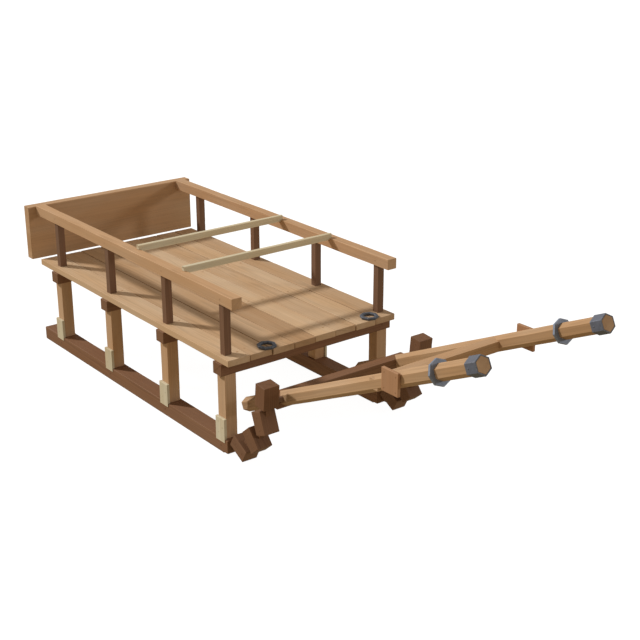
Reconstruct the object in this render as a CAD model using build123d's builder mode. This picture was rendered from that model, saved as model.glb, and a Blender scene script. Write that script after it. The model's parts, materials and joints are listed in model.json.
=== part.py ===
"""Horse-drawn freight sled with a planked deck on posts, side rails and hinged shafts.

Frame: millimetres, +X forward, +Y to the sled's left, +Z up, ground at z = 0.
The origin is the centre of the sled's footprint, shafts included.
"""
from build123d import *
import os
from math import cos, radians, sin, sqrt

os.makedirs("parts", exist_ok=True)

# ------------------------------------------------------------------ driving sizes
# Deck
deck_length = 2260
deck_width = 1200
deck_height = 580          # top of the planks above the ground
plank_thickness = 38
plank_gap = 1.5

# Crossbeams, numbered from the rear
beam_width = 82            # along X
beam_height = 71
beam_overhang = 10        # each end past the deck's edge
rear_inset = 215           # rear end of the deck to the first beam's middle
front_inset = 94           # front end of the deck to the last beam's middle
bay_length = 672           # first to second and second to third beam

# Side frames: runners, shoes, posts, stakes and rails stand on one line
side_inset = 52             # in from the deck's edge
runner_width = 103
runner_height = 80
runner_rear_overhang = 233  # behind the first beam's middle
runner_front_overhang = 67  # ahead of the last beam's middle
shoe_thickness = 6
shoe_inset = 1              # shoe's edge in from the runner's side
shoe_front_setback = 40
post_size = 75.5
stake_size = 45
rail_width = 65
rail_height = 64
rail_rise = 359             # rails' top above the deck
rail_front_overhang = 120   # ahead of the last beam's middle

# Foot cleats on the outer sides of the posts
cleat_length = 88           # along X
cleat_rise = 124            # above the runner's top
cleat_lap = 20              # down over the runner's side
cleat_lip = 3               # thickness over the runner

# Tailboard on the rails' rear ends
tail_gap = 57               # deck's rear end to the tailboard's front face
tail_thickness = 67
tail_overhang = 33.5        # each end past the deck's edge
tail_height = 363.5
tail_below_rail = 6.5         # tailboard's top under the rails' top

# Slats across the rails
slat_width = 27
slat_height = 40
slat_notch = 13             # seated depth over the rails' inner edges
slat_lap = 16               # bearing on each rail
slat_rear_x = 85            # from the deck's middle
slat_front_x = 594

# Lashing rings flat on the front of the deck
lash_ring_radius = 57.5
lash_bar_width = 24         # the ring's iron, from its inside to its outside
lash_bar_height = 16
lash_bar_chamfer = 4
lash_front_inset = 42       # ring's middle behind the deck's front end
lash_right_inset = 290      # ring's middle in from the deck's right edge
lash_left_inset = 165

# Upturned nose of each runner
nose_band = 50              # thickness of the bent core in the X-Z plane
nose_core_width = 45        # core along Y
nose_straight = 32          # level stretch ahead of the runner
block_length = 85
block_height = 134
block_width = 98

# Shafts, hinged in the top nose block
shaft_inset = 136           # shaft's axis inside the runner's middle
shaft_corner_radius = 43.9  # hexagon, corners up and down
shaft_rise = 25             # degrees above level at rest
shaft_stub = 426            # behind the pin
shaft_reach = 1580          # ahead of the pin
pin_above_axis = 4.3
pin_radius = 10
pin_clearance = 0.4         # turning in the nose
pin_seat_clearance = 0.1    # driven into the shaft
pin_wall = 6                # wood left at the blind ends of both holes
collar_radius = 15
collar_gap = 1.5            # collar to the nose block
hinge_bar_width = 71
hinge_bar_shy = 4.2         # bar's top and bottom inside the shaft's corner radius
hinge_bar_back = 58.5       # bar's middle behind the pin, along the shaft
hinge_bar_proud = 21        # each end past the shaft's outer side
crossbar_width = 64.5
crossbar_shy = 13.7
crossbar_ahead = 822        # bar's middle ahead of the pin, along the shaft
plate_length = 120
plate_height = 122
plate_thickness = 18
plate_ahead = 973.5
shaft_ring_ahead = 1278
shaft_ring_bar = 24
shaft_ring_clearance = 0.3
cap_length = 73
cap_wall = 7.3              # corner to corner, outside less inside, on one side

# ------------------------------------------------------------------ placement
rise = radians(shaft_rise)
flat_radius = shaft_corner_radius * cos(radians(30))
cap_radius = shaft_corner_radius + cap_wall
hinge_bar_height = 2 * (shaft_corner_radius - hinge_bar_shy)
crossbar_height = 2 * (shaft_corner_radius - crossbar_shy)
beam_first = rear_inset - deck_length / 2
beam_last = deck_length / 2 - front_inset

side_y = deck_width / 2 - side_inset
shaft_y = side_y - shaft_inset
runner_top = shoe_thickness + runner_height

# Nose blocks from the runner upwards. Each block's middle lies `climb` degrees up from the one
# before, a block's height and the clear gap away; `lean` is positive when its top leans forward.
# The first is measured from the end of the core's level stretch, half a block and its gap away.
nose_table = [
    # climb, gap, lean
    (26.6, 9, -61.6),
    (38.6, 18, -39.7),
    (58.8, 20, -20.1),
    (83.1, 28, 5.5),
]
pin_from_block = (0, -45.5)   # pin from the top block's middle, in X and Z
block_middles = []               # ahead of the runner's end, and height
block_x = nose_straight
block_z = shoe_thickness + runner_height / 2
reach = block_height / 2
for climb, gap, lean in nose_table:
    block_x += (reach + gap) * cos(radians(climb))
    block_z += (reach + gap) * sin(radians(climb))
    block_middles.append((block_x, block_z))
    reach = block_height

nose_start = beam_last + runner_front_overhang
pin_ahead = nose_start + block_middles[-1][0] + pin_from_block[0]
pin_z = block_middles[-1][1] + pin_from_block[1]
front_end = pin_ahead + shaft_reach * cos(rise) + pin_above_axis * sin(rise) + cap_radius * sin(rise)
rear_end = -deck_length / 2 - tail_gap - tail_thickness
deck_x = -(front_end + rear_end) / 2      # middle of the deck in this frame
deck_rear = deck_x - deck_length / 2
deck_front = deck_x + deck_length / 2
deck_underside = deck_height - plank_thickness
beam_x = [
    deck_x + beam_first,
    deck_x + beam_first + bay_length,
    deck_x + beam_first + 2 * bay_length,
    deck_x + beam_last,
]
runner_rear = beam_x[0] - runner_rear_overhang
runner_front = beam_x[-1] + runner_front_overhang
beam_underside = deck_underside - beam_height
rail_top = deck_height + rail_rise
rail_underside = rail_top - rail_height
tail_front = deck_rear - tail_gap
rail_front = beam_x[-1] + rail_front_overhang
pin_x = deck_x + pin_ahead
block_inner_y = side_y - block_width / 2
sides = [("right", -1), ("left", 1)]


# ------------------------------------------------------------------ helpers
def slab(low, high):
    """Solid box between two opposite corners, added to the part being built."""
    size = [b - a for a, b in zip(low, high)]
    middle = tuple((a + b) / 2 for a, b in zip(low, high))
    with Locations(middle):
        Box(*size)


def mirrored(low, high, side):
    """The two corners of a box on the left, moved to the given side."""
    if side > 0:
        return low, high
    return (low[0], -high[1], low[2]), (high[0], -low[1], high[2])


def finish(name, builder):
    """Label one finished piece and write its file."""
    builder.part.label = name
    export_step(builder.part, f"parts/{name}.step")


def band_outline(spine, thickness):
    """Corners of a band of even thickness along a bent spine, mitred at each bend."""
    steps = [(end - start).normalized() for start, end in zip(spine, spine[1:])]
    upper = []
    lower = []
    for index, point in enumerate(spine):
        before = steps[max(index - 1, 0)]
        after = steps[min(index, len(steps) - 1)]
        middle = (before + after).normalized()
        normal = Vector(-middle.Y, middle.X)
        offset = normal * (thickness / 2 / sqrt((1 + before.dot(after)) / 2))
        upper.append(point + offset)
        lower.append(point - offset)
    return upper + lower[::-1]


def side_sketch_plane(y):
    """Vertical plane facing the sled's right, with local x forward and local y up."""
    return Plane(origin=(0, y, 0), x_dir=(1, 0, 0), z_dir=(0, -1, 0))


# ------------------------------------------------------------------ runners and shoes
for side_name, side in sides:
    with BuildPart() as runner:
        slab(*mirrored(
            (runner_rear, side_y - runner_width / 2, shoe_thickness),
            (runner_front, side_y + runner_width / 2, runner_top), side))
    finish(f"runner_{side_name}", runner)

    shoe_half = runner_width / 2 - shoe_inset
    with BuildPart() as shoe:
        slab(*mirrored(
            (runner_rear, side_y - shoe_half, 0),
            (runner_front - shoe_front_setback, side_y + shoe_half, shoe_thickness), side))
    finish(f"runner_shoe_{side_name}", shoe)

# ------------------------------------------------------------------ upturned noses
# A bent core butts on the runner's end and climbs through four leaning blocks. The blocks are
# mortised over it. The top one holds the blind bore of the shaft's hinge pin.
nose_spine = [
    Vector(runner_front, shoe_thickness + runner_height / 2),
    Vector(runner_front + nose_straight, shoe_thickness + runner_height / 2),
] + [Vector(runner_front + ahead, z) for ahead, z in block_middles]
nose_outline = band_outline(nose_spine, nose_band)
bore_radius = pin_radius + pin_clearance
bore_end_y = side_y + block_width / 2 - pin_wall

for side_name, side in sides:
    core_plane = side_sketch_plane(side * side_y)
    bore_plane = side_sketch_plane(side * (block_inner_y + bore_end_y) / 2)
    bore_half = (bore_end_y - block_inner_y) / 2

    with BuildPart() as core:
        with BuildSketch(core_plane):
            Polygon(*[(p.X, p.Y) for p in nose_outline], align=None)
        extrude(amount=nose_core_width / 2, both=True)
        with BuildSketch(bore_plane):
            with Locations((pin_x, pin_z)):
                Circle(bore_radius)
        extrude(amount=bore_half, both=True, mode=Mode.SUBTRACT)
    finish(f"nose_bend_{side_name}", core)

    with BuildPart() as blocks:
        with BuildSketch(core_plane):
            for (ahead, z), (climb, gap, lean) in zip(block_middles, nose_table):
                with Locations(Location((runner_front + ahead, z), -lean)):
                    Rectangle(block_length, block_height)
        extrude(amount=block_width / 2, both=True)
        with BuildSketch(core_plane):
            Polygon(*[(p.X, p.Y) for p in nose_outline], align=None)
        extrude(amount=nose_core_width / 2, both=True, mode=Mode.SUBTRACT)
        with BuildSketch(bore_plane):
            with Locations((pin_x, pin_z)):
                Circle(bore_radius)
        extrude(amount=bore_half, both=True, mode=Mode.SUBTRACT)
    finish(f"nose_blocks_{side_name}", blocks)

# ------------------------------------------------------------------ posts and foot cleats
for side_name, side in sides:
    for number, x in enumerate(beam_x, start=1):
        with BuildPart() as post:
            slab(*mirrored(
                (x - post_size / 2, side_y - post_size / 2, runner_top),
                (x + post_size / 2, side_y + post_size / 2, beam_underside), side))
        finish(f"post_{number}_{side_name}", post)

    post_outer = side_y + post_size / 2
    runner_outer = side_y + runner_width / 2
    with BuildPart() as cleats:
        for x in beam_x:
            slab(*mirrored(
                (x - cleat_length / 2, post_outer, runner_top),
                (x + cleat_length / 2, runner_outer + cleat_lip, runner_top + cleat_rise), side))
            slab(*mirrored(
                (x - cleat_length / 2, runner_outer, runner_top - cleat_lap),
                (x + cleat_length / 2, runner_outer + cleat_lip, runner_top), side))
    finish(f"foot_cleats_{side_name}", cleats)

# ------------------------------------------------------------------ crossbeams
beam_half = deck_width / 2 + beam_overhang
for number, x in enumerate(beam_x, start=1):
    with BuildPart() as beam:
        slab((x - beam_width / 2, -beam_half, beam_underside),
             (x + beam_width / 2, beam_half, deck_underside))
    finish(f"crossbeam_{number}", beam)

# ------------------------------------------------------------------ deck planks
# From the right edge to the left: front end past the nominal front, top under the nominal top.
plank_table = [
    (1, 0),
    (-1, 1.5),
    (6, 0),
    (5, 1),
    (1, 0),
    (-3, 1.5),
    (2, 0.5),
    (0, 0),
]
plank_pitch = (deck_width + plank_gap) / len(plank_table)
for number, (stagger, drop) in enumerate(plank_table, start=1):
    low_y = -deck_width / 2 + (number - 1) * plank_pitch
    with BuildPart() as plank:
        slab((deck_rear, low_y, deck_underside),
             (deck_front + stagger, low_y + plank_pitch - plank_gap, deck_height - drop))
    finish(f"deck_plank_{number}", plank)

# ------------------------------------------------------------------ stakes and rails
for side_name, side in sides:
    for number, x in enumerate(beam_x, start=1):
        with BuildPart() as stake:
            slab(*mirrored(
                (x - stake_size / 2, side_y - stake_size / 2, deck_height),
                (x + stake_size / 2, side_y + stake_size / 2, rail_underside), side))
        finish(f"stake_{number}_{side_name}", stake)

    with BuildPart() as rail:
        slab(*mirrored(
            (tail_front, side_y - rail_width / 2, rail_underside),
            (rail_front, side_y + rail_width / 2, rail_top), side))
    finish(f"rail_{side_name}", rail)

# ------------------------------------------------------------------ tailboard
tail_top = rail_top - tail_below_rail
tail_half = deck_width / 2 + tail_overhang
with BuildPart() as tailboard:
    slab((tail_front - tail_thickness, -tail_half, tail_top - tail_height),
         (tail_front, tail_half, tail_top))
finish("tailboard", tailboard)

# ------------------------------------------------------------------ slats across the rails
rail_inner = side_y - rail_width / 2
for slat_name, slat_x in [("rear", deck_x + slat_rear_x), ("front", deck_x + slat_front_x)]:
    with BuildPart() as slat:
        slab((slat_x - slat_width / 2, -rail_inner - slat_lap, rail_top),
             (slat_x + slat_width / 2, rail_inner + slat_lap, rail_top + slat_height - slat_notch))
        slab((slat_x - slat_width / 2, -rail_inner, rail_top - slat_notch),
             (slat_x + slat_width / 2, rail_inner, rail_top))
    finish(f"rail_slat_{slat_name}", slat)

# ------------------------------------------------------------------ lashing rings
# Forged from flat bar with broken corners, so each lies flat on its plank.
lash_x = deck_front - lash_front_inset
lash_right_y = lash_right_inset - deck_width / 2
lash_left_y = deck_width / 2 - lash_left_inset
for side_name, lash_y in [("right", lash_right_y), ("left", lash_left_y)]:
    edges_y = (lash_y - lash_ring_radius, lash_y + lash_ring_radius)
    first, last = [int((y + deck_width / 2) // plank_pitch) for y in edges_y]
    seat_z = deck_height - min(drop for stagger, drop in plank_table[first:last + 1])
    with BuildPart() as lash_ring:
        with BuildSketch(Plane.XY.offset(seat_z)):
            with Locations((lash_x, lash_y)):
                Circle(lash_ring_radius)
                Circle(lash_ring_radius - lash_bar_width, mode=Mode.SUBTRACT)
        extrude(amount=lash_bar_height)
        chamfer(lash_ring.edges(), lash_bar_chamfer)
    finish(f"lashing_ring_{side_name}", lash_ring)

# ------------------------------------------------------------------ shafts
# Each shaft's own frame starts on its axis, square to the pin: local z runs up the shaft.
# The crossbar passes through a mortise in each shaft. The hinge bar is let in round the shafts.
shaft_dir = Vector(cos(rise), 0, sin(rise))
shaft_up = Vector(-sin(rise), 0, cos(rise))
axis_foot = Vector(pin_x, 0, pin_z) - shaft_up * pin_above_axis


def shaft_plane(y, ahead):
    """Plane square to the shaft on its axis, the given distance ahead of the pin."""
    middle = axis_foot + shaft_dir * ahead
    return Plane(origin=(middle.X, y, middle.Z), x_dir=(0, 1, 0), z_dir=shaft_dir)


shaft_inner = shaft_y - flat_radius
shaft_outer = shaft_y + flat_radius
seat_radius = pin_radius + pin_seat_clearance
pin_inner_y = shaft_inner + pin_wall
pin_outer_y = bore_end_y - pin_wall / 2
collar_outer_y = block_inner_y - collar_gap
bar_middle = axis_foot - shaft_dir * hinge_bar_back
crossbar_middle = axis_foot + shaft_dir * crossbar_ahead
plate_middle = axis_foot + shaft_dir * plate_ahead
ring_radius = shaft_corner_radius + shaft_ring_clearance + shaft_ring_bar / 2

for side_name, side in sides:
    with BuildPart() as shaft:
        with BuildSketch(shaft_plane(side * shaft_y, -shaft_stub)):
            RegularPolygon(shaft_corner_radius, 6, rotation=30)
        extrude(amount=shaft_stub + shaft_reach)
        with BuildSketch(side_sketch_plane(side * (pin_inner_y + shaft_outer) / 2)):
            with Locations((pin_x, pin_z)):
                Circle(seat_radius)
        extrude(amount=(shaft_outer - pin_inner_y) / 2, both=True, mode=Mode.SUBTRACT)
        with Locations(crossbar_middle + Vector(0, side * shaft_y, 0)):
            Box(crossbar_width, 4 * flat_radius, crossbar_height, mode=Mode.SUBTRACT)
    finish(f"shaft_{side_name}", shaft)

    with BuildPart() as pin:
        with BuildSketch(side_sketch_plane(side * (pin_inner_y + pin_outer_y) / 2)):
            with Locations((pin_x, pin_z)):
                Circle(pin_radius)
        extrude(amount=(pin_outer_y - pin_inner_y) / 2, both=True)
        with BuildSketch(side_sketch_plane(side * (shaft_outer + collar_outer_y) / 2)):
            with Locations((pin_x, pin_z)):
                Circle(collar_radius)
        extrude(amount=(collar_outer_y - shaft_outer) / 2, both=True)
    finish(f"hinge_pin_{side_name}", pin)

    with BuildPart() as plate:
        slab(*mirrored(
            (plate_middle.X - plate_length / 2, shaft_outer, plate_middle.Z - plate_height / 2),
            (plate_middle.X + plate_length / 2, shaft_outer + plate_thickness,
             plate_middle.Z + plate_height / 2), side))
    finish(f"shaft_plate_{side_name}", plate)

    with BuildPart() as shaft_ring:
        with Locations(shaft_plane(side * shaft_y, shaft_ring_ahead)):
            Torus(ring_radius, shaft_ring_bar / 2)
    finish(f"shaft_ring_{side_name}", shaft_ring)

    with BuildPart() as cap:
        with BuildSketch(shaft_plane(side * shaft_y, shaft_reach - cap_length)):
            RegularPolygon(cap_radius, 6, rotation=30)
            RegularPolygon(shaft_corner_radius, 6, rotation=30, mode=Mode.SUBTRACT)
        extrude(amount=cap_length)
    finish(f"shaft_cap_{side_name}", cap)

bar_half = shaft_outer + hinge_bar_proud
with BuildPart() as hinge_bar:
    with Locations(bar_middle):
        Box(hinge_bar_width, 2 * bar_half, hinge_bar_height)
    for side_name, side in sides:
        with BuildSketch(shaft_plane(side * shaft_y, -hinge_bar_back - hinge_bar_height)):
            RegularPolygon(shaft_corner_radius, 6, rotation=30)
        extrude(amount=2 * hinge_bar_height, mode=Mode.SUBTRACT)
finish("hinge_bar", hinge_bar)

with BuildPart() as crossbar:
    with Locations(crossbar_middle):
        Box(crossbar_width, 2 * shaft_outer, crossbar_height)
finish("shaft_crossbar", crossbar)
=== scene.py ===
# %% Load the frame
import json
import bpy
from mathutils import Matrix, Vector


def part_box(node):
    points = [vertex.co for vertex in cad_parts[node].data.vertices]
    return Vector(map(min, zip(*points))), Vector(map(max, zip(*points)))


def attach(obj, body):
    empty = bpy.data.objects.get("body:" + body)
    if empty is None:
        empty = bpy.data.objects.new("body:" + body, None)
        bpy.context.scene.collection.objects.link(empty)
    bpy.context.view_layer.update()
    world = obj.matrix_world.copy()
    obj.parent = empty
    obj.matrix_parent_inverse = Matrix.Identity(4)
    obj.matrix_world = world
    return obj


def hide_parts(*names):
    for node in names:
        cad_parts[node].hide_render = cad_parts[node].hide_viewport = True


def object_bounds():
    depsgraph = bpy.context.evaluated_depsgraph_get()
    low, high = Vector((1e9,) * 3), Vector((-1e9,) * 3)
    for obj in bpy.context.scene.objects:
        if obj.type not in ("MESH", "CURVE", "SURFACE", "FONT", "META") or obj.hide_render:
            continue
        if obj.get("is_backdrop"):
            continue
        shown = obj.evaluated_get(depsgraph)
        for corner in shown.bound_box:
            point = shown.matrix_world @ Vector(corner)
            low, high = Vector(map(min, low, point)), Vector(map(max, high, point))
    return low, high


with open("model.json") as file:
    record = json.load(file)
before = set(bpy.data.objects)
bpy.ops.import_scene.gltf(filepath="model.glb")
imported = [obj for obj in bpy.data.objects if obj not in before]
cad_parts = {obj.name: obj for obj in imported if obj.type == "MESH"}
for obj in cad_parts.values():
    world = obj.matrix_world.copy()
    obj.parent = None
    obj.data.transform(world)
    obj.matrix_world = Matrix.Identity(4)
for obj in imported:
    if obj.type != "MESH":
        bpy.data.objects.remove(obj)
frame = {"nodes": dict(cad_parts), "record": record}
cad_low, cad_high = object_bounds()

from zlib import crc32

import bpy
import numpy as np
from mathutils import Vector

print("the frame is", [round(size, 3) for size in cad_high - cad_low], "metres long, wide and high")

# %% [markdown]
# # A horse-drawn freight sled
# The sled is plain joinery: long straight timbers, pegged where they cross, with a little forged iron
# where rope and harness pull. Nothing on it is curved except two kinds of ring and the bent core of
# each nose. So the lesson is about wood: how a straight timber gets the soft arrises, small dents and
# true grain that tell the eye it was sawn from a tree and then used.
#
# Four attributes on each mesh carry what the finishes need to know about their place in a timber:
#
# - `grain`: the point's place in the log, in metres, along the log first and then across it,
# - `worn`: 1 on an arris and 0 a few millimetres away from it,
# - `ends`: 1 where the timber is cut across,
# - `tone`: one number between -1 and 1 for the whole timber, because no two come from the same tree.

# %% [markdown]
# ## Writing shader maths as Python
# A finish is a formula, and a tree of Math nodes hides it. `Socket` wraps the output of a node and
# overloads the operators, so that `1 - mask * 0.4` adds the two Math nodes that it needs. `Shader` is
# one node tree: its `node` method makes every other node from its type, settings and inputs. `Finish`
# is a shader tree round one Principled surface, which is what a material is here.


# %% Sockets, shaders and finishes
class Socket:
    """One output of a node. Arithmetic on it adds Math nodes and gives another Socket."""

    def __init__(self, shader, source):
        self.shader = shader
        self.source = source

    def maths(self, operation, first, second=0.0):
        return self.shader.node("ShaderNodeMath", {"operation": operation}, {0: first, 1: second})

    def __add__(self, other):
        return self.maths("ADD", self, other)

    def __sub__(self, other):
        return self.maths("SUBTRACT", self, other)

    def __rsub__(self, other):
        return self.maths("SUBTRACT", other, self)

    def __mul__(self, other):
        return self.maths("MULTIPLY", self, other)

    def __truediv__(self, other):
        return self.maths("DIVIDE", self, other)

    def __pow__(self, other):
        return self.maths("POWER", self, other)

    __radd__ = __add__
    __rmul__ = __mul__

    def fraction(self):
        return self.maths("FRACT", self)

    def above(self, low, high):
        """0 below low, 1 above high, and a smooth step between them."""
        settings = {"interpolation_type": "SMOOTHSTEP"}
        inputs = {"Value": self, "From Min": low, "From Max": high}
        return self.shader.node("ShaderNodeMapRange", settings, inputs)


class Shader:
    """A node tree under construction."""

    def __init__(self, tree):
        self.tree = tree

    def node(self, kind, settings=None, inputs=None, output=0):
        """A node of any type. Its settings are set first, then each input is given a value or a link."""
        node = self.tree.nodes.new(kind)
        for setting, value in (settings or {}).items():
            setattr(node, setting, value)
        for socket, value in (inputs or {}).items():
            if isinstance(value, Socket):
                self.tree.links.new(value.source, node.inputs[socket])
            else:
                node.inputs[socket].default_value = value
        return Socket(self, node.outputs[output])

    def parts(self, vector):
        """The three numbers of a vector."""
        first = self.node("ShaderNodeSeparateXYZ", inputs={0: vector})
        return first, *(Socket(self, first.source.node.outputs[place]) for place in (1, 2))

    def attribute(self, name, output):
        return self.node("ShaderNodeAttribute", {"attribute_name": name}, output=output)

    def stretched(self, vector, scale):
        """A vector multiplied along each of its directions."""
        return self.node("ShaderNodeVectorMath", {"operation": "MULTIPLY"}, {0: vector, 1: scale})

    def scaled(self, colour, factor):
        """A colour made lighter or darker by a factor."""
        return self.node("ShaderNodeVectorMath", {"operation": "SCALE"}, {0: colour, "Scale": factor})

    def noise(self, vector, detail=2.0, roughness=0.5):
        """Smooth noise round one half, with about one feature in each unit of the vector."""
        inputs = {"Vector": vector, "Scale": 1.0, "Detail": detail, "Roughness": roughness}
        return self.node("ShaderNodeTexNoise", {"noise_dimensions": "3D"}, inputs)

    def mix(self, factor, first, second):
        """One colour turning into another as the factor goes from 0 to 1."""
        return self.node("ShaderNodeMix", {"data_type": "RGBA"}, {0: factor, 6: first, 7: second}, output=2)


class Finish(Shader):
    """A material with one Principled surface, whose uniform values are given by name."""

    def __init__(self, name, **surface):
        self.material = bpy.data.materials.new(name)
        self.material.use_nodes = True
        super().__init__(self.material.node_tree)
        self.surface = self.tree.nodes["Principled BSDF"]
        for socket, value in surface.items():
            self.surface.inputs[socket.replace("_", " ")].default_value = value

    def bump(self, height):
        """A normal bent by a height in metres."""
        return self.node("ShaderNodeBump", inputs={"Strength": 1.0, "Distance": 1.0, "Height": height})

    def feed(self, **sockets):
        """Links the surface's inputs and returns the finished material."""
        for socket, value in sockets.items():
            self.tree.links.new(value.source, self.surface.inputs[socket.replace("_", " ")])
        return self.material


print("shader helpers are ready")

# %% [markdown]
# ## Camera
# The camera stands ahead of the sled on its right side, a little above it, with a long lens. It is
# placed by a direction and a distance from the point that it aims at, so that each number means
# something. It isn't tilted sideways and its lens isn't shifted.

# %% The camera
view_azimuth = np.radians(52.11)
view_elevation = np.radians(20.886)
view_distance = 7.6
view_aim = Vector((-0.1076, 0.3653, 0.4650))
towards_camera = Vector((
    np.sin(view_azimuth) * np.cos(view_elevation),
    -np.cos(view_azimuth) * np.cos(view_elevation),
    np.sin(view_elevation),
))
camera = bpy.data.objects.new("camera", bpy.data.cameras.new("camera"))
camera.data.sensor_width = 36
camera.data.lens = 69.497
camera.location = view_aim + towards_camera * view_distance
camera.rotation_euler = (np.pi / 2 - view_elevation, 0, view_azimuth)
bpy.context.scene.collection.objects.link(camera)
bpy.context.scene.camera = camera
bpy.context.scene.view_settings.view_transform = "Standard"
print("camera at", [round(value, 4) for value in camera.location])

# %% [markdown]
# ## Light and floor
# The key light comes low from behind and from the right, so the tops and the right-hand sides are lit
# and the faces that look forward are in shade. A weak fill from ahead and the left, almost level,
# keeps those faces readable. Both are suns with a wide disc, because their shadows grow softer with
# distance as those of a studio lamp do. The rest of the studio is the world: nearly neutral above and
# warm below, as over a wooden floor, and plain white where the camera looks past the sled.

# %% The lights
LIGHTS = {
    # name: (direction that it travels, strength, width of its disc in degrees)
    "key_light": ((1.1, 0.74, -1.0), 2.92, 5),
    "fill_light": ((-0.26, -0.322, -0.117), 0.6, 9),
}
ROOM_ABOVE = (0.46, 0.42, 0.37, 1)
ROOM_BELOW = (0.395, 0.315, 0.19, 1)
HORIZON = 0.35  # half height of the band in which one turns into the other
WHITE = (1, 1, 1, 1)

for name, (travel, strength, width) in LIGHTS.items():
    sun = bpy.data.lights.new(name, "SUN")
    sun.energy = strength
    sun.angle = np.radians(width)
    lamp = bpy.data.objects.new(name, sun)
    lamp.rotation_euler = Vector(travel).to_track_quat("-Z", "Y").to_euler()
    bpy.context.scene.collection.objects.link(lamp)
    slope = np.degrees(np.arctan2(-travel[2], np.hypot(*travel[:2])))
    print(name, "falls at", round(float(slope), 1), "degrees")

world = bpy.data.worlds.new("studio")
bpy.context.scene.world = world
world.use_nodes = True
studio = Shader(world.node_tree)
upward = studio.parts(studio.node("ShaderNodeTexCoord"))[2]
room = studio.mix(upward.above(-HORIZON, HORIZON), ROOM_BELOW, ROOM_ABOVE)
past_the_sled = studio.node("ShaderNodeLightPath")
seen = studio.mix(past_the_sled, room, WHITE)
world.node_tree.links.new(seen.source, world.node_tree.nodes["Background"].inputs["Color"])

# %% [markdown]
# The floor is a wide plain disc, white enough that the light overexposes it a little. Most of its
# whiteness is a glow of its own, so the sled's shadow on it all but disappears. It takes no part in
# lighting the sled, whose undersides would otherwise look as bright as its tops.

# %% The floor
FLOOR_RADIUS = 60.0
FLOOR_DROP = 0.0004  # under the sled's lowest point, so that the two don't meet
FLOOR_SIDES = 96
FLOOR_GLOW = 0.965
FLOOR_TONE = 0.13
turn = np.linspace(0, 2 * np.pi, FLOOR_SIDES, endpoint=False)
rim = FLOOR_RADIUS * np.column_stack((np.cos(turn), np.sin(turn), 0 * turn))
floor_mesh = bpy.data.meshes.new("floor")
floor_mesh.from_pydata(rim + (0, 0, cad_low.z - FLOOR_DROP), [], [list(range(FLOOR_SIDES))])
floor = bpy.data.objects.new("floor", floor_mesh)
paper = Finish("floor_paper", Base_Color=(FLOOR_TONE,) * 3 + (1,), Roughness=0.9, Emission_Color=WHITE,
               Emission_Strength=FLOOR_GLOW)
paper.material.cycles.emission_sampling = "NONE"
floor_mesh.materials.append(paper.material)
floor.visible_diffuse = False
floor.visible_glossy = False
floor.visible_shadow = False
bpy.context.scene.collection.objects.link(floor)
floor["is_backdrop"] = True
print("floor", 2 * FLOOR_RADIUS, "metres across")

# %% [markdown]
# ## Wood
# A board is a slice of a log, and its figure is the log's growth rings cut at an angle. Painting
# stripes on each face would never meet at the corners. Here the pattern is solid instead: the ring
# that a point lies in comes from its distance to the middle of the log, which is the length of the
# last two parts of `grain`. Long faces then show long stripes and flames, and ends show arcs, from
# one formula. Slow noise along the log makes the rings wander.
#
# Fine fibres are noise that is hundreds of times finer across the log than along it. They tint the
# wood, roughen it and stand up a tenth of a millimetre.


# %% The wood finish
# Features in each metre: along the log, and across it both ways.
WANDER = (1.1, 9.0, 9.0)
RING_STRENGTH = (0.6, 30.0, 30.0)
FIBRE = (9.0, 700.0, 700.0)
STREAK = (1.6, 75.0, 75.0)
STAIN = (1.7, 7.0, 7.0)

WANDER_REACH = 0.028  # metres, from one side to the other
FIBRE_HEIGHT = 0.00018
STREAK_HEIGHT = 0.0003
LATE_WOOD_DEPTH = 0.00006

WARM, COOL = (1.03, 0.985, 0.93), (0.97, 1.01, 1.08)    # what a stain does to red, green and blue
BROWNER, PALER = (1, 1.35, 1.7), (1, 1.3, 1.6)          # how fast they change from timber to timber


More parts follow.
